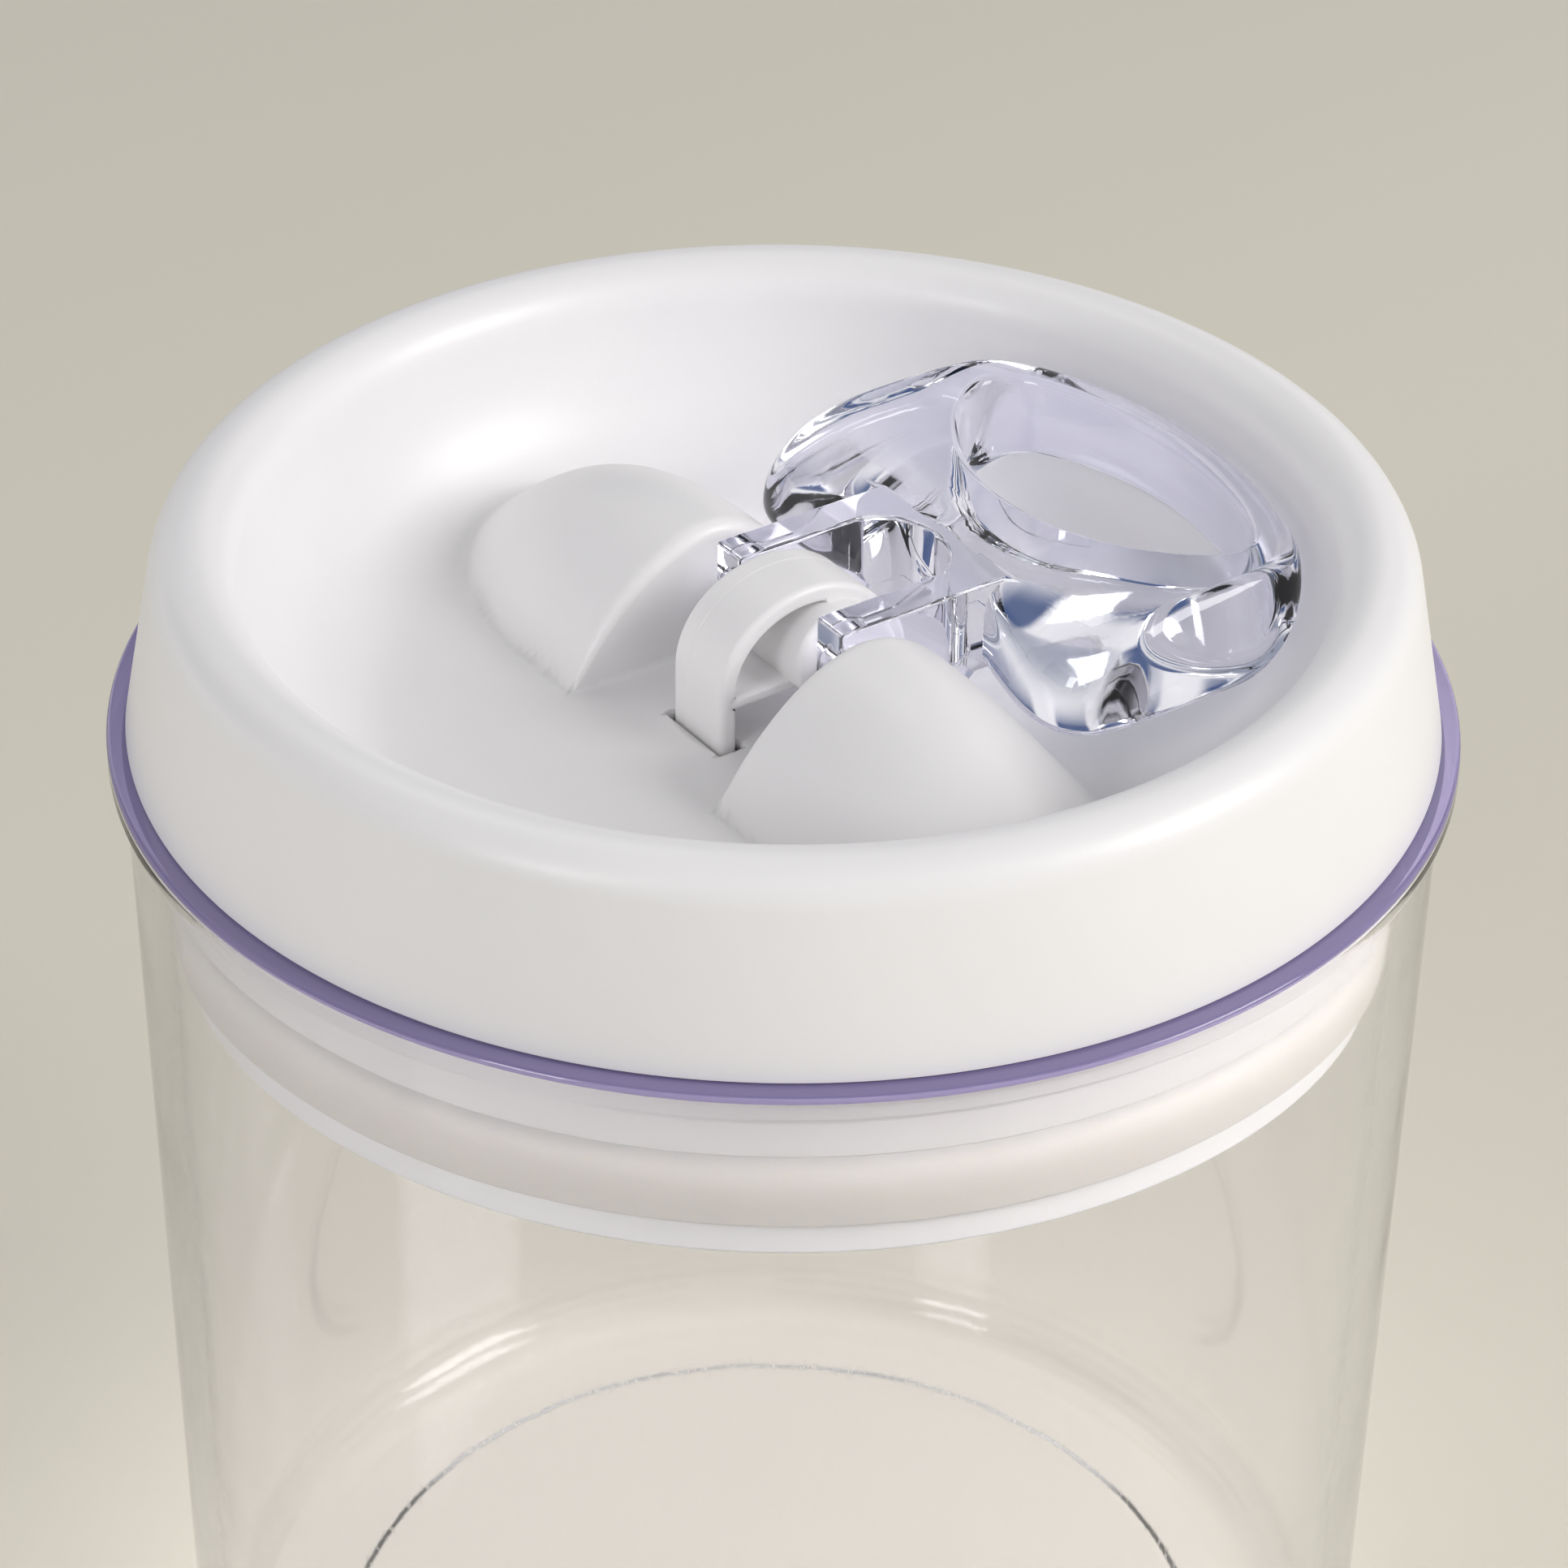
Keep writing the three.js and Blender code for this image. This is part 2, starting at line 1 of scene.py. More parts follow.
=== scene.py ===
# Round food storage canister with a flip-lock lid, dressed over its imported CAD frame.
import math

import bmesh
import bpy
from mathutils import Matrix, Vector


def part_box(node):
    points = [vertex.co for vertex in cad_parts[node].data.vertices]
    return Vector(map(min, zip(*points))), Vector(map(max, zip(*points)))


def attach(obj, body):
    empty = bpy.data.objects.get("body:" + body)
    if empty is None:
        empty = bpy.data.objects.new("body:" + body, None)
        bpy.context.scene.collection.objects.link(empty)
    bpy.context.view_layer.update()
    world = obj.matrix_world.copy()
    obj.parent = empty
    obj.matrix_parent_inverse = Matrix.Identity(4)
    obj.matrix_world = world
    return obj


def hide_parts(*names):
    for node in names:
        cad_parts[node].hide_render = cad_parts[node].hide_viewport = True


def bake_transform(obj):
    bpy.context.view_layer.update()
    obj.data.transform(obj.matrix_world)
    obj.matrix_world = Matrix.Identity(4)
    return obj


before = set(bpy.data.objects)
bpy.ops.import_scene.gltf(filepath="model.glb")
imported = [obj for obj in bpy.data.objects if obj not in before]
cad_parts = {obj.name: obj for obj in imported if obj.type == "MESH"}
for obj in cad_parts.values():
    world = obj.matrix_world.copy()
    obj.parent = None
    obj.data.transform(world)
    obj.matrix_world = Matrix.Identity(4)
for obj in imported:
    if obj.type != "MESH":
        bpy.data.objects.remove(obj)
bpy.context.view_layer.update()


# Jar: clear acrylic, injection moulded in one piece with a slight draft. The plastic's tint gathers
# to violet in the flared rim. It stands on a foot ring, and the lid stands on its rim.
MM = 0.001
merge_gap = 0.001 * MM
jar_low, jar_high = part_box("jar_body")
rim_radius = jar_high.x
rim_level = jar_high.z
rim_flare = 1.4 * MM
rim_thickness = 2.4 * MM
rim_edge = 0.5 * MM
rim_violet = 0.65 * MM
flare_edge = 0.15 * MM
hairline_drop = 1.1 * MM
hairline_depth = 0.06 * MM
jar_wall = 3.1 * MM
jar_draft = math.radians(0.9)
jar_base = 4.5 * MM
jar_corner = 7 * MM
foot_width = 8 * MM
foot_recess = 0.8 * MM
foot_edge = 0.3 * MM
jar_steps = 192
clear_tint = (0.968, 0.963, 0.975, 1)
rim_tint = (0.96, 0.948, 0.97, 1)
violet_edge = (0.35, 0.298, 0.565, 1)
violet_clearness = 0.35
jar_lets_by = (0.965, 0.96, 0.975, 1)


def wall_radius(level):
    """Outside of the jar's drafted wall."""
    return rim_radius - rim_flare - (rim_level - level) * math.tan(jar_draft)


def bore_radius(level):
    """Inside of the jar's wall."""
    return wall_radius(level) - jar_wall


def spun(bm, steps):
    """Spins what is drawn a full turn about the jar's axis, and closes it."""
    bmesh.ops.spin(
        bm, geom=bm.verts[:] + bm.edges[:], cent=(0, 0, 0), axis=(0, 0, 1),
        angle=math.tau, steps=steps, use_merge=True)
    bmesh.ops.remove_doubles(bm, verts=bm.verts[:], dist=merge_gap)
    bmesh.ops.recalc_face_normals(bm, faces=bm.faces[:])


def turned(corners, steps=160, segments=5):
    """Spins a profile of (radius, level, round) corners about the jar's axis."""
    bm = bmesh.new()
    verts = [bm.verts.new((radius, 0, level)) for radius, level, _ in corners]
    for start, end in zip(verts, verts[1:]):
        bm.edges.new((start, end))
    if corners[0][0] > 0:
        bm.edges.new((verts[-1], verts[0]))
    for vert, (_, _, corner_round) in zip(verts, corners):
        if corner_round > 0:
            one, other = [edge.other_vert(vert).co - vert.co for edge in vert.link_edges]
            reach = corner_round / math.tan(one.angle(other) / 2)
            bmesh.ops.bevel(
                bm, geom=[vert], affect="VERTICES", offset=reach, offset_type="OFFSET",
                segments=segments, profile=0.5, material=-1)
    spun(bm, steps)
    return bm


def finished(bm, name, look):
    """Makes a smooth piece of a mesh, at the origin, with its material."""
    mesh = bpy.data.meshes.new(name)
    bm.to_mesh(mesh)
    bm.free()
    mesh.shade_smooth()
    mesh.materials.append(look)
    piece = bpy.data.objects.new(name, mesh)
    bpy.context.scene.collection.objects.link(piece)
    return piece


def even_normals(piece):
    """Keeps flat faces flat in shading beside their small rounded edges."""
    even = piece.modifiers.new("even_normals", "WEIGHTED_NORMAL")
    even.keep_sharp = True
    even.weight = 80


def place(tree, kind, values=None, **settings):
    """Adds a node. Values are set on its inputs, or linked where they are sockets."""
    node = tree.nodes.new(kind)
    for name, value in settings.items():
        setattr(node, name, value)
    for key, value in (values or {}).items():
        if isinstance(value, bpy.types.NodeSocket):
            tree.links.new(value, node.inputs[key])
        else:
            node.inputs[key].default_value = value
    return node


def maths(tree, operation, *values, **settings):
    """The result of a math node."""
    node = place(tree, "ShaderNodeMath", dict(enumerate(values)), operation=operation, **settings)
    return node.outputs[0]


def ramp(tree, value, start, end, low=0.0, high=1.0, curve="SMOOTHSTEP"):
    """Goes from low to high while a value goes from start to end."""
    node = place(
        tree, "ShaderNodeMapRange", {0: value, 1: start, 2: end, 3: low, 4: high},
        interpolation_type=curve)
    return node.outputs[0]


def mix_colours(tree, share, first, second):
    """Goes from the first colour to the second as the share goes from 0 to 1."""
    return place(tree, "ShaderNodeMix", {0: share, 6: first, 7: second}, data_type="RGBA").outputs[2]


def new_group(name, inputs, outputs):
    """An empty shader node group with named sockets. Returns it, its input and its output node."""
    group = bpy.data.node_groups.new(name, "ShaderNodeTree")
    for socket, kind in inputs.items():
        group.interface.new_socket(socket, in_out="INPUT", socket_type=kind)
    for socket, kind in outputs.items():
        group.interface.new_socket(socket, in_out="OUTPUT", socket_type=kind)
    return group, group.nodes.new("NodeGroupInput"), group.nodes.new("NodeGroupOutput")


FLOAT = "NodeSocketFloat"
VECTOR = "NodeSocketVector"

# A moulded surface has slow sink and flow, fine grain, and a roughness that varies with both.
moulded, given, put = new_group(
    "moulded_surface",
    {"Vector": VECTOR, "Grain Size": FLOAT, "Flow Size": FLOAT, "Grain Share": FLOAT,
     "Roughness": FLOAT, "Roughness Spread": FLOAT},
    {"Roughness": FLOAT, "Tone": FLOAT, "Height": FLOAT})
waves = {}
for size, detail in (("Grain Size", 3.0), ("Flow Size", 2.0)):
    per_metre = maths(moulded, "DIVIDE", 1.0, given.outputs[size])
    waves[size] = place(
        moulded, "ShaderNodeTexNoise",
        {"Vector": given.outputs["Vector"], "Scale": per_metre, "Detail": detail}).outputs[0]
relief_height = place(
    moulded, "ShaderNodeMix",
    {0: given.outputs["Grain Share"], 2: waves["Flow Size"], 3: waves["Grain Size"]},
    data_type="FLOAT").outputs[0]
centred = maths(moulded, "SUBTRACT", relief_height, 0.5)
varied = maths(
    moulded, "MULTIPLY_ADD", centred, given.outputs["Roughness Spread"], given.outputs["Roughness"])
moulded.links.new(varied, put.inputs["Roughness"])
moulded.links.new(waves["Flow Size"], put.inputs["Tone"])
moulded.links.new(relief_height, put.inputs["Height"])

# Hairline scuffs are the fine, long marks of handling and wiping, in two directions.
scuffs, given, put = new_group(
    "hairline_scuffs", {"Vector": VECTOR, "Line Width": FLOAT, "Amount": FLOAT}, {"Mask": FLOAT})
scuff_starts = 0.66
scuff_full = 0.74
per_metre = maths(scuffs, "DIVIDE", 1.0, given.outputs["Line Width"])
line_masks = []
for turn, stretch in ((0.5, 0.03), (2.1, 0.045)):
    drawn_out = place(
        scuffs, "ShaderNodeMapping",
        {"Vector": given.outputs["Vector"], "Rotation": (0.2, 0.1, turn), "Scale": (1.0, stretch, 0.3)})
    lines = place(
        scuffs, "ShaderNodeTexNoise",
        {"Vector": drawn_out.outputs[0], "Scale": per_metre, "Detail": 1.0})
    line_masks.append(ramp(scuffs, lines.outputs[0], scuff_starts, scuff_full, curve="LINEAR"))
either = maths(scuffs, "MAXIMUM", *line_masks)
scuffed = maths(scuffs, "MULTIPLY", either, given.outputs["Amount"])
scuffs.links.new(scuffed, put.inputs["Mask"])


def new_look(name, values):
    """A material with values on its shader. Returns it, its node tree and the shader."""
    look = bpy.data.materials.new(name)
    look.use_nodes = True
    shader = look.node_tree.nodes["Principled BSDF"]
    for socket, value in values.items():
        shader.inputs[socket].default_value = value
    return look, look.node_tree, shader


def moulded_finish(tree, shader, relief_depth, finish, scuff=None):
    """Gives a shader a moulded roughness and relief, and scuffs. Returns the surface's outputs."""
    spot = place(tree, "ShaderNodeTexCoord").outputs["Object"]
    surface = place(tree, "ShaderNodeGroup", {"Vector": spot, **finish}, node_tree=moulded).outputs
    rough = surface["Roughness"]
    if scuff:
        marks = place(tree, "ShaderNodeGroup", {"Vector": spot, **scuff}, node_tree=scuffs)
        rough = maths(tree, "ADD", rough, marks.outputs["Mask"])
    tree.links.new(rough, shader.inputs["Roughness"])
    relief = place(
        tree, "ShaderNodeBump",
        {"Height": surface["Height"], "Strength": 1.0, "Distance": relief_depth})
    tree.links.new(relief.outputs[0], shader.inputs["Normal"])
    return surface


def clear_plastic(name, tint, flow_depth, lets_by, clearness=1.0):
    """Polished clear acrylic. Each of its skins lets a share of the lamps' light by."""
    look, tree, shader = new_look(
        name, {"Base Color": tint, "IOR": 1.49, "Transmission Weight": clearness})
    moulded_finish(
        tree, shader, flow_depth,
        {"Grain Size": 0.9 * MM, "Flow Size": 18 * MM, "Grain Share": 0.03,
         "Roughness": 0.03, "Roughness Spread": 0.03},
        scuff={"Line Width": 0.35 * MM, "Amount": 0.05})
    lamp_light = place(tree, "ShaderNodeBsdfTransparent", {"Color": lets_by})
    ray = place(tree, "ShaderNodeLightPath")
    let_through = place(
        tree, "ShaderNodeMixShader",
        {0: ray.outputs["Is Shadow Ray"], 1: shader.outputs[0], 2: lamp_light.outputs[0]})
    tree.links.new(let_through.outputs[0], tree.nodes["Material Output"].inputs["Surface"])
    return look


corner_foot = wall_radius(0) - jar_corner
flare_foot = rim_level - rim_thickness - rim_flare
hairline = rim_level - hairline_drop
jar_mesh = turned([
    (0, foot_recess, 0),
    (corner_foot - foot_width, foot_recess, foot_edge),
    (corner_foot - foot_width + foot_recess, 0, foot_edge),
    (wall_radius(0), 0, jar_corner),
    (wall_radius(flare_foot), flare_foot, flare_edge),
    (rim_radius, rim_level - rim_thickness, rim_edge),
    (rim_radius, hairline - hairline_depth, 0),
    (rim_radius - hairline_depth, hairline, 0),
    (rim_radius, hairline + hairline_depth, 0),
    (rim_radius, rim_level - rim_violet, 0),
    (rim_radius, rim_level, rim_edge),
    (bore_radius(rim_level), rim_level, rim_edge),
    (bore_radius(jar_base), jar_base, jar_corner - jar_wall),
    (0, jar_base, 0),
], steps=jar_steps)
for face in jar_mesh.faces:
    middle = face.calc_center_median()
    outside = math.hypot(middle.x, middle.y) > bore_radius(middle.z) + jar_wall / 2
    if outside and middle.z > rim_level - rim_violet:
        face.material_index = 1
clear_jar = clear_plastic("clear_jar_acrylic", clear_tint, flow_depth=0.03 * MM, lets_by=jar_lets_by)
tree = clear_jar.node_tree
jar_spot = place(tree, "ShaderNodeTexCoord").outputs["Object"]
jar_level = place(tree, "ShaderNodeSeparateXYZ", {0: jar_spot}).outputs["Z"]
near_rim = ramp(tree, jar_level, rim_level - 3 * rim_thickness, rim_level - rim_thickness)
jar_colour = mix_colours(tree, near_rim, clear_tint, rim_tint)
tree.links.new(jar_colour, tree.nodes["Principled BSDF"].inputs["Base Color"])
violet_rim = clear_plastic(
    "violet_rim_acrylic", violet_edge, flow_depth=0.02 * MM, lets_by=jar_lets_by,
    clearness=violet_clearness)
jar = finished(jar_mesh, "clear_jar_with_rim", clear_jar)
jar.data.materials.append(violet_rim)
even_normals(jar)
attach(jar, "jar")
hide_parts("jar_body")


# Lid cover: white satin plastic, moulded as one shell. A deep dish with a rolled lip and a leaning
# skirt, and two hollow bell-shaped humps whose flat faces guide the lever's arms.
cover_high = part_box("lid_cover")[1]
seat = 0.3 * MM
lid_foot = rim_level + seat
lip_round = 4.3 * MM
lip_inset = 7.2 * MM
lip_step = 0.6 * MM
dish_depth = 20.4 * MM
dish_sweep = 14.5 * MM
cover_wall = 1.5 * MM
cover_steps = 240
ring_step = 1 * MM
hump_face = 24.9 / 2 * MM
hump_height = 13.8 * MM
hump_half_width = 16.5 * MM
hump_length = 35 * MM
hump_taper = 3
hump_fullness = 1.1
hump_lean = 0.3
hump_crest_round = 1.5 * MM
hump_foot_round = 0.8 * MM
hump_blend = 3
face_margin = 1.1
face_reach = 4 * MM
face_rows = (-0.8, -0.5, -0.2, -0.06, 0, 0.03, 0.12, 0.35, 0.7, 1.15, 1.7)
leg_centre = 9.3 * MM
slot_half_x = 1.6 * MM
slot_half_y = 4.8 * MM
slot_cut = 1 * MM
lid_white = (0.895, 0.888, 0.887)
dull_share = 0.965
lip_radius = cover_high.x - lip_inset
lip_level = cover_high.z - lip_round
dish_radius = lip_radius - lip_round
dish_flat = dish_radius - dish_sweep
floor_level = cover_high.z - dish_depth
sweep_rise = lip_level - floor_level
skirt_lean = (math.atan2(lip_inset, lip_level - lid_foot)
              - math.asin(lip_round / math.hypot(lip_inset, lip_level - lid_foot)))


def trace(bm, last, moves, step=ring_step):
    """Draws on from a vertex: (x, y) goes straight to a point, (x, y, degrees) turns about a point."""
    for move in moves:
        if len(move) == 2:
            last = bmesh.ops.extrude_vert_indiv(bm, verts=[last])["verts"][0]
            last.co = (*move, 0)
            continue
        x, y, degrees = move
        length = math.hypot(last.co.x - x, last.co.y - y) * abs(math.radians(degrees))
        arc = bmesh.ops.spin(
            bm, geom=[last], cent=(x, y, 0), axis=(0, 0, 1), angle=math.radians(degrees),
            steps=max(3, round(length / step)))
        last = next(vert for vert in arc["geom_last"] if isinstance(vert, bmesh.types.BMVert))
    return last


def stand_up(bm):
    """Turns what was drawn in X and Y up into X and Z."""
    upright = Matrix.Rotation(math.pi / 2, 3, "X")
    bmesh.ops.rotate(bm, verts=bm.verts[:], cent=(0, 0, 0), matrix=upright)


def face_up(bm):
    """Turns a skin's faces so that the one nearest to its middle looks up."""
    bmesh.ops.recalc_face_normals(bm, faces=bm.faces[:])
    if min(bm.faces, key=lambda face: face.calc_center_median().length_squared).normal.z < 0:
        bmesh.ops.reverse_faces(bm, faces=bm.faces[:])


def cut_line(bm, axis, at, within):
    """Cuts a line across the faces whose middle is within the given test."""
    normal = Vector((0, 0, 0))
    normal[axis] = 1
    faces = [face for face in bm.faces if within(face.calc_center_median())]
    edges = {edge for face in faces for edge in face.edges}
    verts = {vert for face in faces for vert in face.verts}
    bmesh.ops.bisect_plane(
        bm, geom=[*verts, *edges, *faces], dist=merge_gap / 10, plane_co=normal * at, plane_no=normal)


def cut_slots(bm, low, high):
    """Opens the two slots for the yoke's legs in the skins between two levels."""
    def near(point):
        return abs(point.x) < 2 * leg_centre and abs(point.y) < hump_face and low < point.z < high
    for side in (-1, 1):
        for reach in (-slot_half_x, slot_half_x):
            cut_line(bm, 0, side * leg_centre + reach, near)
    for reach in (-slot_half_y, slot_half_y):
        cut_line(bm, 1, reach, near)
    inside = []
    for face in bm.faces:
        middle = face.calc_center_median()
        in_slot = abs(abs(middle.x) - leg_centre) < slot_half_x and abs(middle.y) < slot_half_y
        if in_slot and low < middle.z < high:
            inside.append(face)
    bmesh.ops.delete(bm, geom=inside, context="FACES")


def least(power, *lengths):
    """The least of some lengths, eased where two are alike. A negative power gives the greatest."""
    return sum(length ** -power for length in lengths) ** (-1 / power)


def dip(distance, corner_round):
    """How far a round edge lies below its corner, at a distance from the corner's side."""
    inward = max(0, corner_round - distance)
    return corner_round - math.sqrt(max(0, corner_round ** 2 - inward ** 2))


def hump_rise(x, y):
    """Height of the bell over the dish floor, with a sharp crest. It is fuller behind the lever."""
    behind = max(0, abs(y) - hump_face) / hump_length
    share = (x / hump_half_width) ** 2 + behind ** hump_taper
    fullness = hump_fullness + hump_lean * max(-1, x / hump_half_width)
    return hump_height * max(0, 1 - share) ** fullness


def raise_hump(bm, side):
    """Raises a bell out of the dish on one side of the lever, and closes its flat face."""
    def beyond(point):
        return side * point.y - hump_face

    def near_face(point):
        in_dish = abs(point.x) < face_margin * hump_half_width and point.z < lip_level
        return in_dish and abs(beyond(point)) < face_reach

    def on_face(edge):
        return all(abs(beyond(vert.co)) < merge_gap and abs(vert.co.x) < hump_half_width
                   for vert in edge.verts)

    for row in face_rows:
        cut_line(bm, 1, side * (hump_face + row * MM), near_face)
    bmesh.ops.split_edges(bm, edges=[edge for edge in bm.edges if on_face(edge)])
    raised = set()
    beside = set()
    for face in bm.faces:
        out = beyond(face.calc_center_median())
        if out > 0:
            raised.update(face.verts)
        elif out > -face_reach:
            beside.update(face.verts)
    for vert in raised:
        rise = hump_rise(vert.co.x, vert.co.y)
        if rise > 0:
            crest = dip(beyond(vert.co), min(hump_crest_round, rise / 2))
            dish = max(0, vert.co.z - floor_level)
            vert.co.z = floor_level + least(-hump_blend, dish, rise - crest)
    for vert in beside - raised:
        foot = min(hump_foot_round, hump_rise(vert.co.x, side * hump_face) / 2)
        if foot > 0:
            vert.co.z += dip(abs(beyond(vert.co)), foot)
    opening = [edge for edge in bm.edges if edge.is_boundary and on_face(edge)]
    bmesh.ops.contextual_create(bm, geom=opening)


skin = bmesh.new()
middle = skin.verts.new((0, floor_level, 0))
trace(skin, middle, [(dish_flat, floor_level)])
bmesh.ops.subdivide_edges(skin, edges=skin.edges[:], cuts=round(dish_flat / ring_step))
sweep_start = max(skin.verts, key=lambda vert: vert.co.x)
sweep_end = trace(skin, sweep_start, [(dish_flat, floor_level + dish_sweep, 90)])
bmesh.ops.scale(
    skin, verts=[vert for vert in skin.verts if vert.co.y > floor_level],
    vec=(1, sweep_rise / dish_sweep, 1), space=Matrix.Translation((0, -floor_level, 0)))
trace(
    skin, sweep_end,
    [(lip_radius, lip_level, math.degrees(skirt_lean) - 180), (cover_high.x, lid_foot)], step=lip_step)
stand_up(skin)
spun(skin, cover_steps)
face_up(skin)
for side in (-1, 1):
    raise_hump(skin, side)
cut_slots(skin, floor_level - slot_cut, floor_level + slot_cut)
face_up(skin)


def satin_plastic(name, colour, roughness, grain_depth, changes=None):
    """Moulded plastic with a fine satin grain, slow tone changes and faint scuffs."""
    values = {
        "IOR": 1.5, "Subsurface Weight": 0.12, "Subsurface Radius": (0.9, 0.85, 0.8),
        "Subsurface Scale": 1 * MM}
    look, tree, shader = new_look(name, {**values, **(changes or {})})
    surface = moulded_finish(
        tree, shader, grain_depth,
        {"Grain Size": 0.35 * MM, "Flow Size": 14 * MM, "Grain Share": 0.6,
         "Roughness": roughness, "Roughness Spread": 0.12},
        scuff={"Line Width": 0.4 * MM, "Amount": 0.06})
    dull = tuple(dull_share * channel for channel in colour)
    tone = mix_colours(tree, surface["Tone"], (*colour, 1), (*dull, 1))
    tree.links.new(tone, shader.inputs["Base Color"])
    return look


white_satin = satin_plastic("white_satin_lid", lid_white, roughness=0.36, grain_depth=0.012 * MM)
cover = finished(skin, "dished_lid_cover", white_satin)
shell = cover.modifiers.new("shell", "SOLIDIFY")
shell.thickness = cover_wall
shell.offset = -1
even_normals(cover)
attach(cover, "lid")
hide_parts("lid_cover")


# Lid base: a shallow white cup, pushed up into the skirt to close the lid from below. Its wall is
# the plug that shows through the jar just under the rim, and its floor has slots for the yoke.
base_low, base_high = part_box("lid_base")
plug_wall = 2.2 * MM
plug_clearance = 0.7 * MM
plug_edge = 0.15 * MM
plug_white = (0.88, 0.868, 0.85)
plug_radius = bore_radius(base_low.z) - plug_clearance
cup = turned([
    (0, base_low.z, 0),
    (plug_radius, base_low.z, plug_edge),
    (plug_radius, rim_level, plug_edge),
    (base_high.x, base_high.z, plug_edge),
    (base_high.x - plug_wall, base_high.z, plug_edge),
    (plug_radius - plug_wall, rim_level, plug_edge),
    (plug_radius - plug_wall, base_low.z + plug_wall, plug_edge),
    (0, base_low.z + plug_wall, 0),
])
cut_slots(cup, base_low.z - plug_wall, base_low.z + 2 * plug_wall)
for side in (-1, 1):
    edges = [edge for edge in cup.edges if edge.is_boundary and side * edge.verts[0].co.x > 0]
    bmesh.ops.bridge_loops(cup, edges=edges)
bmesh.ops.recalc_face_normals(cup, faces=cup.faces[:])
grey_white = satin_plastic("grey_white_plug", plug_white, roughness=0.42, grain_depth=0.01 * MM)
plug = finished(cup, "plug_cup", grey_white)
even_normals(plug)
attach(plug, "lid")
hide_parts("lid_base")


# Sealing ring: translucent silicone, moulded with a bulging outside. It lies between the lid base and
# the plunger's flange, which squeeze it out against the jar when the lever is flat.
ring_low, ring_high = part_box("sealing_ring")
ring_width = 8 * MM
ring_foot_draw = 0.6 * MM
ring_bulge_round = 9 * MM
ring_meet = 0.03 * MM
ring_inner_round = 0.6 * MM
flange_lip = 0.6 * MM
silicone_colour = (0.775, 0.742, 0.69)
ring_bore = ring_high.x - ring_width
ring_foot = ring_low.z + flange_lip
ring_top = base_low.z - ring_meet
ring_mesh = turned([
    (ring_bore, ring_foot, ring_inner_round),
    (ring_high.x - ring_foot_draw, ring_foot, ring_inner_round),
    (ring_high.x, (ring_low.z + ring_high.z) / 2, ring_bulge_round),
    (plug_radius, ring_top, 0),
    (ring_bore, ring_top, ring_inner_round),
])
silicone = satin_plastic(
    "translucent_silicone", silicone_colour, roughness=0.5, grain_depth=0.006 * MM,
    changes={"IOR": 1.41, "Subsurface Weight": 0.6, "Subsurface Radius": (1.0, 0.8, 0.6),
             "Subsurface Scale": 3 * MM})
ring = finished(ring_mesh, "silicone_sealing_ring", silicone)
even_normals(ring)
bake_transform(ring)
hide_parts("sealing_ring")


# Plunger plate: a round white flange under the ring, with a collar that centres the ring and two
# sockets that hold the yoke's legs. Moulded in one piece.
plate_low, plate_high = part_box("plunger_plate")
flange_thickness = 2.8 * MM
flange_round = 0.5 * MM
collar_wall = 2.4 * MM
collar_edge = 0.4 * MM
socket_height = 5.5 * MM
socket_wall = 2 * MM
pocket_half_x = 1.3 * MM
pocket_half_y = 4.5 * MM
# The plate is the same white plastic as the plug, but its colour is set brighter: painted light, so that
# its flange, which sits in shade below the ring, looks lit.
plunger_white_painted_lighter = (0.94, 0.935, 0.925)
flange_top = plate_low.z + flange_thickness
collar_radius = ring_bore - seat
plate_mesh = turned([
    (0, plate_low.z, 0),
    (plate_high.x, plate_low.z, flange_round),
    (plate_high.x, flange_top + flange_lip, flange_round),
    (collar_radius, flange_top + flange_lip, collar_edge),
    (collar_radius, plate_high.z, collar_edge),
    (collar_radius - collar_wall, plate_high.z, collar_edge),
    (collar_radius - collar_wall, flange_top, collar_edge),
    (0, flange_top, 0),
])


def by_socket(point):
    """Whether a point is on the flange inside the collar, where the sockets stand."""
    return math.hypot(point.x, point.y) < collar_radius - 2 * collar_wall and point.z > flange_top - seat


for side in (-1, 1):
    for reach in (pocket_half_x, pocket_half_x + socket_wall):
        for way in (-1, 1):
            cut_line(plate_mesh, 0, side * leg_centre + way * reach, by_socket)
for reach in (pocket_half_y, pocket_half_y + socket_wall):
    for way in (-1, 1):
        cut_line(plate_mesh, 1, way * reach, by_socket)
socket_walls = []
for face in plate_mesh.faces:
    middle = face.calc_center_median()
    from_leg = abs(abs(middle.x) - leg_centre)
    in_boss = from_leg < pocket_half_x + socket_wall and abs(middle.y) < pocket_half_y + socket_wall
    in_pocket = from_leg < pocket_half_x and abs(middle.y) < pocket_half_y
    if by_socket(middle) and in_boss and not in_pocket:
        socket_walls.append(face)
raised = bmesh.ops.extrude_face_region(plate_mesh, geom=socket_walls)["geom"]
bmesh.ops.translate(
    plate_mesh, vec=(0, 0, socket_height),
    verts=[part for part in raised if isinstance(part, bmesh.types.BMVert)])
bmesh.ops.delete(plate_mesh, geom=socket_walls, context="FACES")
bmesh.ops.recalc_face_normals(plate_mesh, faces=plate_mesh.faces[:])
# Painted light: the plate's white is set brighter than the plug's white.
plunger_painted_lighter = satin_plastic(
    "white_plunger_painted_lighter", plunger_white_painted_lighter, roughness=0.38, grain_depth=0.01 * MM)
plate = finished(plate_mesh, "plunger_disc", plunger_painted_lighter)
even_normals(plate)
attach(plate, "plunger")
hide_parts("plunger_plate")


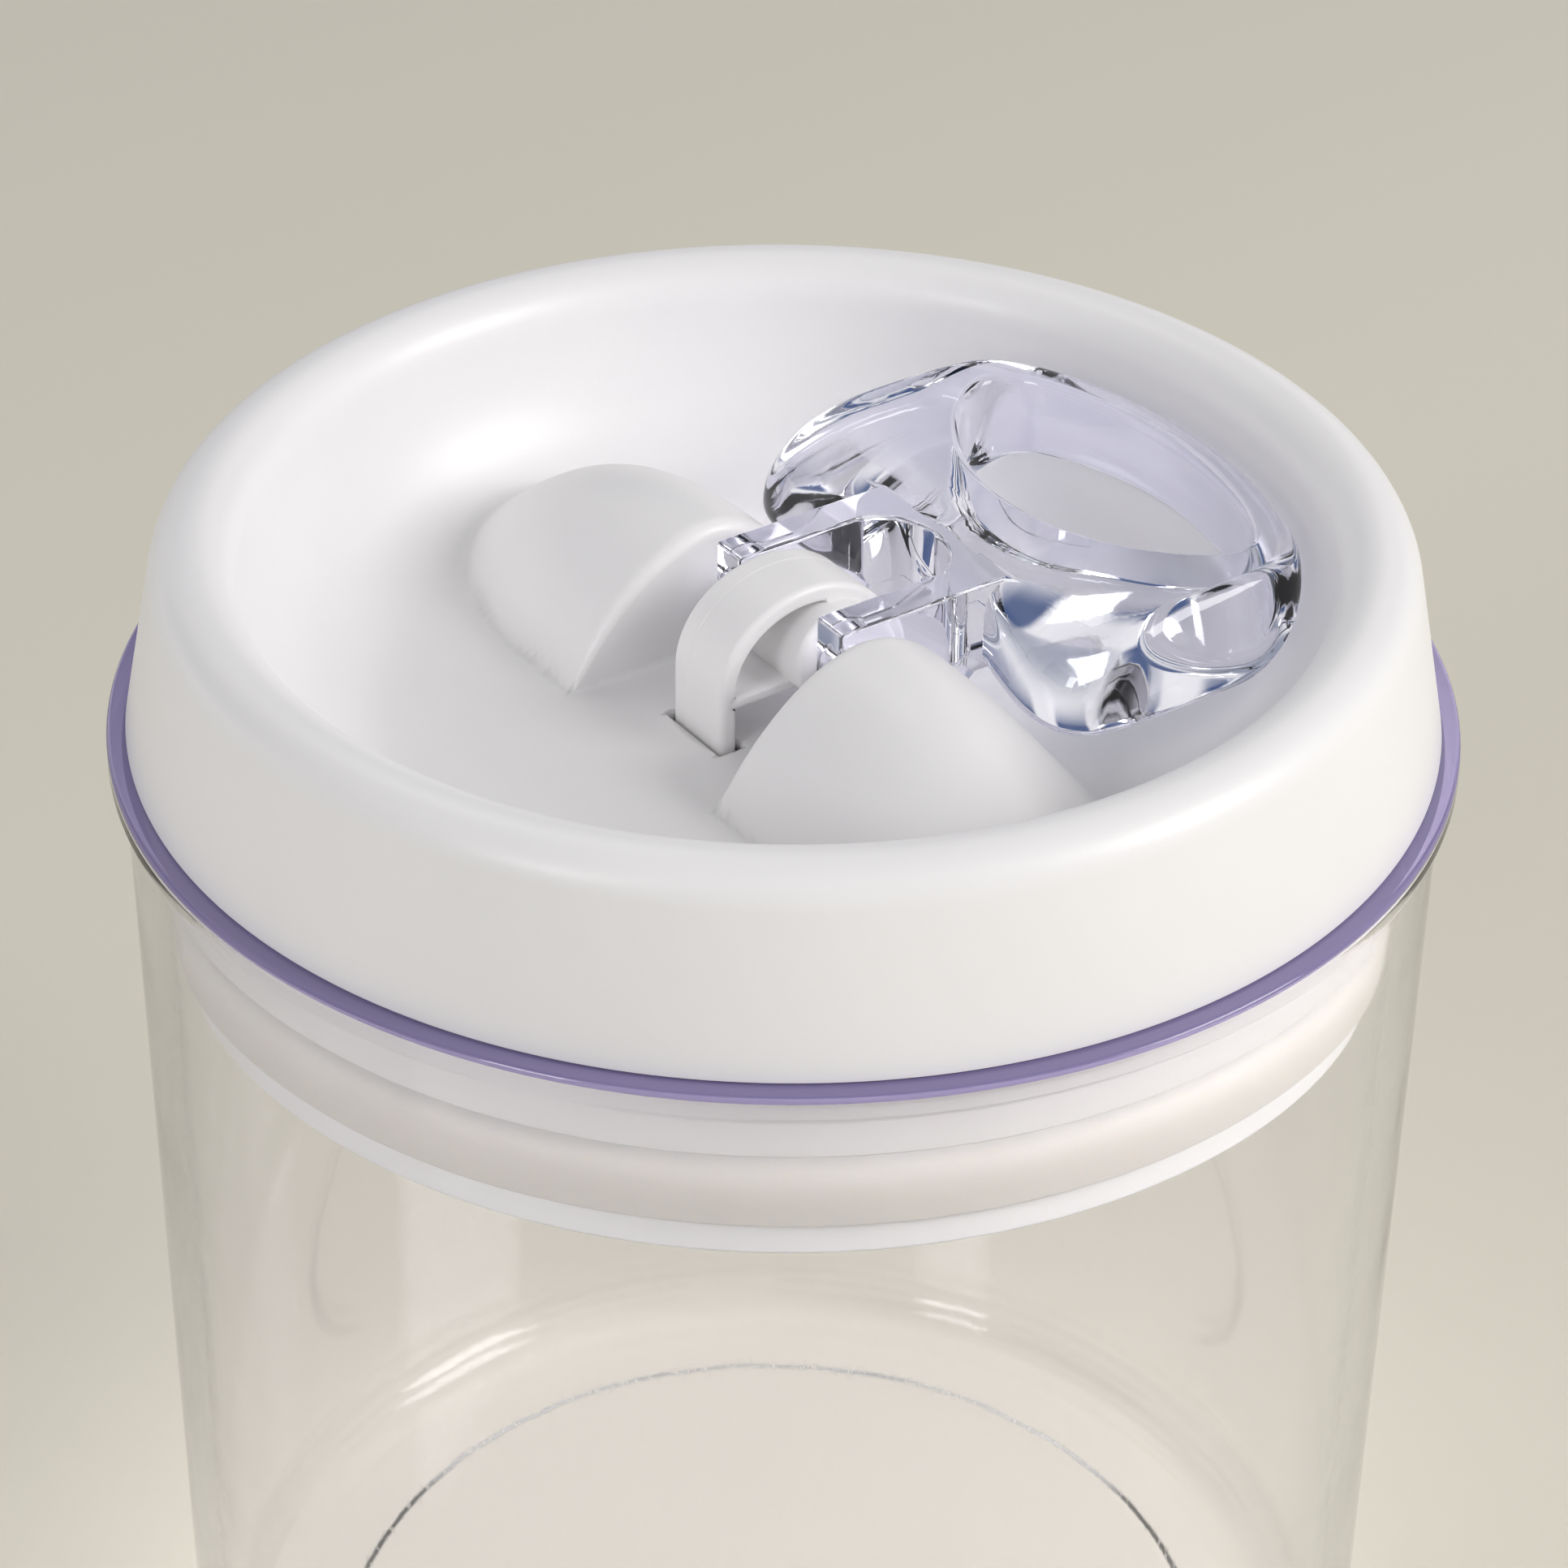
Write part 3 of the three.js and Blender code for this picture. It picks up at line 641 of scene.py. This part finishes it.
# Yoke: a white arched strap that comes up through the dish, with a cross beam and a barrel for the
# axle. Its legs are pressed into the plunger's sockets. A fine mould line runs over its crown, beside
# the middle, and the strap is thin enough for some light to pass.
yoke_low, yoke_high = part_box("plunger_yoke")
strap = 2 * MM
strap_half_width = 4.2 * MM
strap_edge = 0.7 * MM
arch_rise = 9.2 * MM
arch_step = 0.7 * MM
beam_rise = 4 * MM
beam_thickness = 1.5 * MM
barrel_radius = 5.3 * MM
barrel_step = 0.5 * MM
bar_step = 0.3 * MM
mould_line = 1.7 * MM
mould_line_half = 0.12 * MM
mould_line_depth = 0.06 * MM
join_gap = 0.004 * MM
flat_angle = math.radians(0.2)
edge_angle = math.radians(32)
yoke_crease = math.radians(25)
outer_share = 0.97
axle_low, axle_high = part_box("lever_axle")
axle_radius = (axle_high.z - axle_low.z) / 2
axle_x = (axle_low.x + axle_high.x) / 2
axle_z = (axle_low.z + axle_high.z) / 2
arch_level = yoke_high.z - arch_rise
bore = axle_radius + seat


def extruded(bm, depth):
    """Fills a closed outline and gives it a depth above its plane."""
    bmesh.ops.remove_doubles(bm, verts=bm.verts[:], dist=merge_gap)
    bmesh.ops.contextual_create(bm, geom=bm.edges[:])
    top = bmesh.ops.extrude_face_region(bm, geom=bm.faces[:])["geom"]
    bmesh.ops.translate(
        bm, vec=(0, 0, depth), verts=[part for part in top if isinstance(part, bmesh.types.BMVert)])


def side_solid(bm, half_width):
    """A solid from an outline in X and Z, to both sides of the lever's middle plane."""
    extruded(bm, 2 * half_width)
    bmesh.ops.translate(bm, vec=(0, 0, -half_width), verts=bm.verts[:])
    stand_up(bm)
    bmesh.ops.recalc_face_normals(bm, faces=bm.faces[:])
    return bm


def top_solid(bm, low, high):
    """A solid from an outline in X and Y, between two levels."""
    extruded(bm, high - low)
    bmesh.ops.translate(bm, vec=(0, 0, low), verts=bm.verts[:])
    bmesh.ops.recalc_face_normals(bm, faces=bm.faces[:])
    return bm


def outline(start, moves, step=ring_step):
    """A closed outline from a start point."""
    bm = bmesh.new()
    first = bm.verts.new((*start, 0))
    last = trace(bm, first, moves, step)
    if (last.co - first.co).length > merge_gap:
        bm.edges.new((last, first))
    return bm


def arch_outline(half, rise, foot):
    """The arch seen from the side: straight legs under half an ellipse."""
    bm = outline((-half, foot), [(half, foot), (half, arch_level), (0, arch_level, 180)], step=arch_step)
    bmesh.ops.scale(
        bm, verts=[vert for vert in bm.verts if vert.co.y > arch_level],
        vec=(1, rise / half, 1), space=Matrix.Translation((0, -arch_level, 0)))
    return bm


def axis_bar(radius, half_length):
    """A round bar along the lever's axle."""
    circle = outline((axle_x + radius, axle_z), [(axle_x, axle_z, 360)], step=bar_step)
    return side_solid(circle, half_length)


def in_order(bm):
    """Sorts a mesh's parts along a slanting line, so that each run takes them in the same order."""
    slanting = Vector((1, 0.713, 0.459))
    bm.verts.sort(key=lambda vert: vert.co.dot(slanting))
    bm.edges.sort(key=lambda edge: (edge.verts[0].co + edge.verts[1].co).dot(slanting))
    bm.faces.sort(key=lambda face: face.calc_center_median().dot(slanting))


def combined(first, *steps, ordered=False):
    """Joins, cuts or trims a mesh by others. An ordered one comes out the same in each run."""
    def raw(bm):
        if ordered:
            in_order(bm)
        mesh = bpy.data.meshes.new("step")
        bm.to_mesh(mesh)
        bm.free()
        tool = bpy.data.objects.new("step", mesh)
        bpy.context.scene.collection.objects.link(tool)
        return tool
    whole = raw(first)
    tools = []
    for operation, bm in steps:
        tools.append(raw(bm))
        change = whole.modifiers.new(operation, "BOOLEAN")
        change.operation = operation
        change.solver = "EXACT"
        change.object = tools[-1]
    result = bmesh.new()
    result.from_object(whole, bpy.context.evaluated_depsgraph_get())
    for made in (whole, *tools):
        mesh = made.data
        bpy.data.objects.remove(made)
        bpy.data.meshes.remove(mesh)
    if ordered:
        in_order(result)
    bmesh.ops.remove_doubles(result, verts=result.verts[:], dist=join_gap)
    bmesh.ops.dissolve_limit(
        result, angle_limit=flat_angle, verts=result.verts[:], edges=result.edges[:])
    return result


def soften(bm, edge_round, segments=4):
    """Rounds the outer edges of a solid."""
    edges = []
    for edge in bm.edges:
        if edge.is_manifold and edge.is_convex and edge.calc_face_angle() > edge_angle:
            edges.append(edge)
    bmesh.ops.bevel(
        bm, geom=edges, affect="EDGES", offset=edge_round, offset_type="OFFSET", segments=segments,
        profile=0.5, material=-1, clamp_overlap=False)


def on_outside(point):
    """Whether a point is on the strap's outer side."""
    up_arch = max(0, point.z - arch_level) / arch_rise
    return math.hypot(point.x / yoke_half, up_arch) > outer_share


yoke_half = yoke_high.x
beam_half = yoke_half - strap / 2
beam_low = floor_level + beam_rise
beam_high = beam_low + beam_thickness
chord_rise = beam_low + beam_thickness / 2 - axle_z
barrel_chord = math.degrees(math.asin(chord_rise / barrel_radius))
barrel_start = (
    axle_x + barrel_radius * math.cos(math.radians(barrel_chord)),
    axle_z + barrel_radius * math.sin(math.radians(barrel_chord)),
)
barrel_outline = outline(barrel_start, [(axle_x, axle_z, 180 - 2 * barrel_chord)], step=barrel_step)
beam_outline = outline(
    (-beam_half, beam_low), [(beam_half, beam_low), (beam_half, beam_high), (-beam_half, beam_high)])
under_arch = arch_outline(yoke_half - strap, arch_rise - strap, yoke_low.z - strap)
yoke_mesh = combined(
    side_solid(arch_outline(yoke_half, arch_rise, yoke_low.z), strap_half_width),
    ("DIFFERENCE", side_solid(under_arch, 2 * strap_half_width)),
    ("UNION", side_solid(beam_outline, strap_half_width)),
    ("UNION", side_solid(barrel_outline, yoke_high.y)),
    ("DIFFERENCE", axis_bar(bore, 2 * yoke_high.y)))
soften(yoke_mesh, strap_edge)
bmesh.ops.recalc_face_normals(yoke_mesh, faces=yoke_mesh.faces[:])
for across in (-mould_line_half, 0, mould_line_half):
    cut_line(yoke_mesh, 1, mould_line + across, on_outside)
yoke_mesh.normal_update()
for vert in yoke_mesh.verts:
    if on_outside(vert.co) and abs(vert.co.y - mould_line) < mould_line_half / 2:
        vert.co -= vert.normal * mould_line_depth
thin_white = satin_plastic(
    "thin_white_yoke", lid_white, roughness=0.36, grain_depth=0.012 * MM,
    changes={"Subsurface Weight": 0.3, "Subsurface Scale": 2 * MM})
yoke = finished(yoke_mesh, "arched_yoke", thin_white)
yoke.data.set_sharp_from_angle(angle=yoke_crease)
even_normals(yoke)
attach(yoke, "plunger")
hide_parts("plunger_yoke")


# Axle: a plain pin of bright ground steel with slightly rounded ends. It is pressed into the lever's
# arms and free to turn in the yoke's barrel.
pin_edge = 0.3 * MM
grind_depth = 0.004 * MM
bright_steel = (0.86, 0.86, 0.87, 1)
pin_mesh = axis_bar(axle_radius, axle_high.y)
soften(pin_mesh, pin_edge)
steel, tree, shader = new_look("ground_steel_pin", {"Base Color": bright_steel, "Metallic": 1.0})
moulded_finish(
    tree, shader, grind_depth,
    {"Grain Size": 0.12 * MM, "Flow Size": 4 * MM, "Grain Share": 0.7,
     "Roughness": 0.45, "Roughness Spread": 0.25})
pin = finished(pin_mesh, "axle_pin", steel)
even_normals(pin)
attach(pin, "lever")
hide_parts("lever_axle")


# Lever: thick clear acrylic, moulded and polished. A D-shaped ring round a finger hole, with rounded
# edges, leaning sides and a curved brow, and a fork of two arms whose ends are cams on the dish.
lever_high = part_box("flip_lever")[1]
cam_high = 7.1 * MM
cam_low = 3.5 * MM
cam_steps = 24
arm_space = 12.8 / 2 * MM
arm_width = 4.3 * MM
arm_rise = 5.9 * MM
arm_top = axle_z + arm_rise
arm_flat = 7 * MM
arm_heel = 3.4 * MM
arm_root = 24 * MM
arm_edge = 0.45 * MM
arm_drop = 0.05 * MM
notch_end = 17.8 * MM
notch_round = 5 * MM
notch_step = 0.6 * MM
lever_start = 13.1 * MM
lever_lift = 3.5 * MM
lever_underside = floor_level + lever_lift
lever_dish_gap = 1.2 * MM
lever_foot_round = 2.2 * MM
lever_crease = math.radians(28)
lever_tint = (0.885, 0.88, 0.95, 1)
lever_lets_by = (0.89, 0.885, 0.92, 1)
side_draw = 3.3 * MM
end_round = 2.4 * MM
brow_length = 12.1 * MM
front_hollow = 2.9 * MM
front_hollow_half = 21 * MM
hole_start = 26.7 * MM
hole_front = 24.6 * MM
hole_ring = 4 * MM
hole_lip = 1.2 * MM
ring_middle = 37 * MM
ring_steps = 200
lip_steps = 6
top_steps = 5
brow_steps = 18
foot_steps = 6
sole_steps = 7
under_lip_steps = 4
hole_ease = 6
side_ease = 8
end_ease = 12
slant_ease = 30
tiny = 0.0001
quarter_turn = math.pi / 2
end_radius = lever_high.x
half_width = lever_high.y
lever_top = lever_high.z
fork_half = arm_space + arm_width
front_slant = front_hollow / (front_hollow_half - fork_half)
slant_middle = lever_start + front_hollow + front_slant * fork_half


def to_circle(turn, middle, radius):
    """How far it is from the ring's middle, in a direction, to a circle round a point on the X axis."""
    away = ring_middle - middle
    return math.sqrt(radius ** 2 - (away * math.sin(turn)) ** 2) - away * math.cos(turn)


def lever_reach(turn, ease):
    """The lever's outside in a direction. The ease goes from 0 where it is widest to 1 at its top."""
    ahead = -math.cos(turn)
    aside = max(abs(math.sin(turn)), tiny)
    reach = (half_width - side_draw * ease) / aside
    if ahead > tiny:
        front = (ring_middle - lever_start - brow_length * ease) / ahead
        if ahead > front_slant * aside:
            slant = (ring_middle - slant_middle) / (ahead - front_slant * aside)
            front = least(slant_ease, front, slant)
        reach = least(side_ease, reach, front)
    return least(end_ease, reach, to_circle(turn, 0, end_radius - end_round * ease))


def lever_section(turn):
    """The ring's section in a direction, as (distance, level): up the hole, over the top, back under."""
    hole = least(
        hole_ease, to_circle(turn, 0, end_radius - hole_ring),
        to_circle(turn, hole_start + hole_front, hole_front))
    widest = lever_reach(turn, 0)
    top_start = hole + hole_lip
    top_end = lever_reach(turn, 1)
    foot_end = widest - lever_foot_round

    def under(distance):
        from_axis = math.hypot(ring_middle + distance * math.cos(turn), distance * math.sin(turn))
        swept = max(0, from_axis - dish_flat) / (dish_sweep - lever_dish_gap)
        dish = lever_dish_gap + (sweep_rise - lever_dish_gap) * dip(1 - swept, 1)
        foot = dip(widest - distance, lever_foot_round)
        return floor_level + least(-side_ease, lever_underside - floor_level + foot, dish)

    low = under(widest)
    section = []
    for step in range(lip_steps + 1):
        quarter = quarter_turn * step / lip_steps
        section.append((
            hole + hole_lip * (1 - math.cos(quarter)), lever_top - hole_lip * (1 - math.sin(quarter))))
    for step in range(1, top_steps):
        section.append((top_start + (top_end - top_start) * step / top_steps, lever_top))
    for step in range(brow_steps + 1):
        quarter = quarter_turn * (1 - step / brow_steps)
        level = low + (lever_top - low) * math.sin(quarter)
        section.append((lever_reach(turn, 1 - math.cos(quarter)), level))
    for step in range(1, foot_steps + 1):
        distance = widest - lever_foot_round * (1 - math.cos(quarter_turn * step / foot_steps))
        section.append((distance, under(distance)))
    for step in range(1, sole_steps + 1):
        distance = foot_end + (top_start - foot_end) * step / sole_steps
        section.append((distance, under(distance)))
    for step in range(1, under_lip_steps + 1):
        quarter = quarter_turn * step / under_lip_steps
        level = under(top_start) + hole_lip * (1 - math.cos(quarter))
        section.append((hole + hole_lip * (1 - math.sin(quarter)), level))
    return section


sections = [lever_section(math.tau * step / ring_steps) for step in range(ring_steps)]


def to_section(verts, place_on):
    """Moves a loop of the ring to one place on its sections."""
    for vert in verts:
        turn = math.atan2(vert.co.y, vert.co.x - ring_middle)
        distance, level = sections[round(turn / math.tau * ring_steps) % ring_steps][place_on]
        vert.co = (ring_middle + distance * math.cos(turn), distance * math.sin(turn), level)


lever_ring = bmesh.new()
bmesh.ops.create_circle(lever_ring, segments=ring_steps, radius=hole_start)
bmesh.ops.translate(lever_ring, vec=(ring_middle, 0, 0), verts=lever_ring.verts[:])
first_loop = lever_ring.edges[:]
last_loop = first_loop
to_section(lever_ring.verts, 0)
for place_on in range(1, len(sections[0])):
    grown = bmesh.ops.extrude_edge_only(lever_ring, edges=last_loop)["geom"]
    verts = {part for part in grown if isinstance(part, bmesh.types.BMVert)}
    grown_edges = [part for part in grown if isinstance(part, bmesh.types.BMEdge)]
    last_loop = [edge for edge in grown_edges if verts.issuperset(edge.verts)]
    to_section(verts, place_on)
bmesh.ops.bridge_loops(lever_ring, edges=first_loop + last_loop)
bmesh.ops.recalc_face_normals(lever_ring, faces=lever_ring.faces[:])

# The cam's distance from axle to dish falls evenly as the lever turns.
cam_fall = (cam_high - cam_low) / quarter_turn
cam_points = []
for step in range(cam_steps, -1, -1):
    turn = quarter_turn * step / cam_steps
    reach = cam_high - cam_fall * turn
    cam_points.append((
        axle_x - reach * math.sin(turn) + cam_fall * math.cos(turn),
        axle_z - reach * math.cos(turn) - cam_fall * math.sin(turn),
    ))
sole_end = axle_x + cam_fall + arm_flat
fork_low = lever_underside - arm_drop
fork_outline = outline((axle_x - cam_low, arm_top), [
    *cam_points,
    (sole_end, axle_z - cam_high),
    (sole_end + arm_heel, fork_low),
    (arm_root, fork_low),
    (arm_root, arm_top),
])
notch_x = notch_end - notch_round
notch_outline = outline((-notch_x, -arm_space), [
    (notch_x, -arm_space),
    (notch_x, 0, 180),
    (-notch_x, arm_space),
], step=notch_step)
bmesh.ops.scale(
    notch_outline, verts=[vert for vert in notch_outline.verts if vert.co.x > notch_x],
    vec=(notch_round / arm_space, 1, 1), space=Matrix.Translation((-notch_x, 0, 0)))
fork = combined(
    side_solid(fork_outline, fork_half),
    ("DIFFERENCE", top_solid(notch_outline, floor_level - dish_depth, lever_top + dish_depth)),
    ("DIFFERENCE", axis_bar(bore, 2 * half_width)), ordered=True)
soften(fork, arm_edge)
lever_mesh = combined(lever_ring, ("UNION", fork), ordered=True)
bmesh.ops.recalc_face_normals(lever_mesh, faces=lever_mesh.faces[:])
clear_lever = clear_plastic(
    "clear_lever_acrylic", lever_tint, flow_depth=0.02 * MM, lets_by=lever_lets_by)
lever = finished(lever_mesh, "clear_flip_lever", clear_lever)
lever.data.set_sharp_from_angle(angle=lever_crease)
even_normals(lever)
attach(lever, "lever")
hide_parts("flip_lever")


# Studio: a plain pale floor, a soft key light from the front right, weaker ones from behind and from
# the left, and even light that is strongest near the horizon. Gloss and clear plastic also show a pale
# surround with slate-blue panels. The camera stands where the photograph's stood.
floor_gap = 0.1 * MM
floor_half = 4
floor_colour = (0.765, 0.735, 0.62, 1)
horizon_light = (0.735, 0.725, 0.742, 1)
overhead_light = (0.355, 0.35, 0.356, 1)
pale_surround = (0.95, 0.945, 0.93, 1)
overhead_grey = (0.3, 0.33, 0.4, 1)
slate_blue = (0.055, 0.1, 0.23, 1)
panel_count = 7.0
panel_edge = (-0.7, -0.2)
panel_foot = (0.12, 0.3)
panel_head = (0.45, 0.7)
grey_rise = (0.6, 0.95)
light_rise = (0.1, 0.85)
lid_middle = Vector((0, 0, rim_level))
floor_mesh = bmesh.new()
bmesh.ops.create_grid(floor_mesh, x_segments=1, y_segments=1, size=floor_half)
bmesh.ops.translate(floor_mesh, vec=(0, 0, jar_low.z - floor_gap), verts=floor_mesh.verts[:])
pale_floor = new_look("pale_floor", {"Base Color": floor_colour, "Roughness": 0.6})[0]
worktop = finished(floor_mesh, "pale_worktop", pale_floor)


def softbox(name, spot, size, power, colour):
    """A square area lamp that points at the lid. It shows in gloss, but not to the camera."""
    lamp = bpy.data.lights.new(name, "AREA")
    lamp.size = size
    lamp.energy = power
    lamp.color = colour
    box = bpy.data.objects.new(name, lamp)
    box.location = spot
    box.rotation_euler = (lid_middle - Vector(spot)).to_track_quat("-Z", "Y").to_euler()
    box.visible_camera = False
    bpy.context.scene.collection.objects.link(box)


softbox("key_light", spot=(0.62, -0.75, 0.69), size=0.5, power=6.65, colour=(1, 0.985, 0.97))
softbox("back_light", spot=(0.1, 0.6, 1.1), size=0.3, power=0.6, colour=(1, 1, 1))
softbox("fill_light", spot=(-0.9, -0.25, 0.62), size=0.25, power=1.9, colour=(0.98, 0.98, 1))

world = bpy.data.worlds.new("pale_surround")
world.use_nodes = True
bpy.context.scene.world = world
tree = world.node_tree
tree.nodes.clear()
ray = place(tree, "ShaderNodeLightPath").outputs
heading = place(tree, "ShaderNodeTexCoord").outputs["Generated"]
along = place(tree, "ShaderNodeSeparateXYZ", {0: heading}).outputs
height = along["Z"]
around = maths(tree, "ARCTAN2", along["Y"], along["X"])
wave = maths(tree, "SINE", maths(tree, "MULTIPLY", around, panel_count))
panels = ramp(tree, wave, *panel_edge)
band = maths(
    tree, "MULTIPLY", ramp(tree, height, *panel_foot), ramp(tree, height, *panel_head, low=1.0, high=0.0))
off_camera = maths(tree, "SUBTRACT", 1.0, ray["Is Camera Ray"])
panel_share = maths(tree, "MULTIPLY", maths(tree, "MULTIPLY", band, panels), off_camera)
grey_share = maths(tree, "MULTIPLY", ramp(tree, height, *grey_rise), off_camera)
pale_part = mix_colours(tree, grey_share, pale_surround, overhead_grey)
surround_colour = mix_colours(tree, panel_share, pale_part, slate_blue)
light_colour = mix_colours(tree, ramp(tree, height, *light_rise), horizon_light, overhead_light)
even_light = place(tree, "ShaderNodeBackground", {"Color": light_colour, "Strength": 1.0})
surround = place(tree, "ShaderNodeBackground", {"Color": surround_colour, "Strength": 1.0})
seen = maths(tree, "ADD", ray["Is Camera Ray"], ray["Is Glossy Ray"])
seen_or_through = maths(tree, "ADD", seen, ray["Is Transmission Ray"], use_clamp=True)
shown = place(
    tree, "ShaderNodeMixShader", {0: seen_or_through, 1: even_light.outputs[0], 2: surround.outputs[0]})
place(tree, "ShaderNodeOutputWorld", {"Surface": shown.outputs[0]})

camera_azimuth = math.radians(-35)
camera_elevation = math.radians(33.2)
camera_roll = math.radians(0.73)
camera_distance = 492.2 * MM
camera_drop = 8.7 * MM
focal_length = 115.5
sensor_width = 36
back = Vector((
    math.sin(camera_azimuth) * math.cos(camera_elevation),
    -math.cos(camera_azimuth) * math.cos(camera_elevation),
    math.sin(camera_elevation),
))
level_right = Vector((math.cos(camera_azimuth), math.sin(camera_azimuth), 0))
level_up = back.cross(level_right)
right = level_right * math.cos(camera_roll) + level_up * math.sin(camera_roll)
up = back.cross(right)
lens = bpy.data.cameras.new("photo_camera")
lens.lens = focal_length
lens.sensor_width = sensor_width
camera = bpy.data.objects.new("photo_camera", lens)
pose = Matrix((right, up, back)).transposed().to_4x4()
pose.translation = lid_middle + back * camera_distance - up * camera_drop
camera.matrix_world = pose
bpy.context.scene.collection.objects.link(camera)
bpy.context.scene.camera = camera
bpy.context.scene.view_settings.view_transform = "Standard"
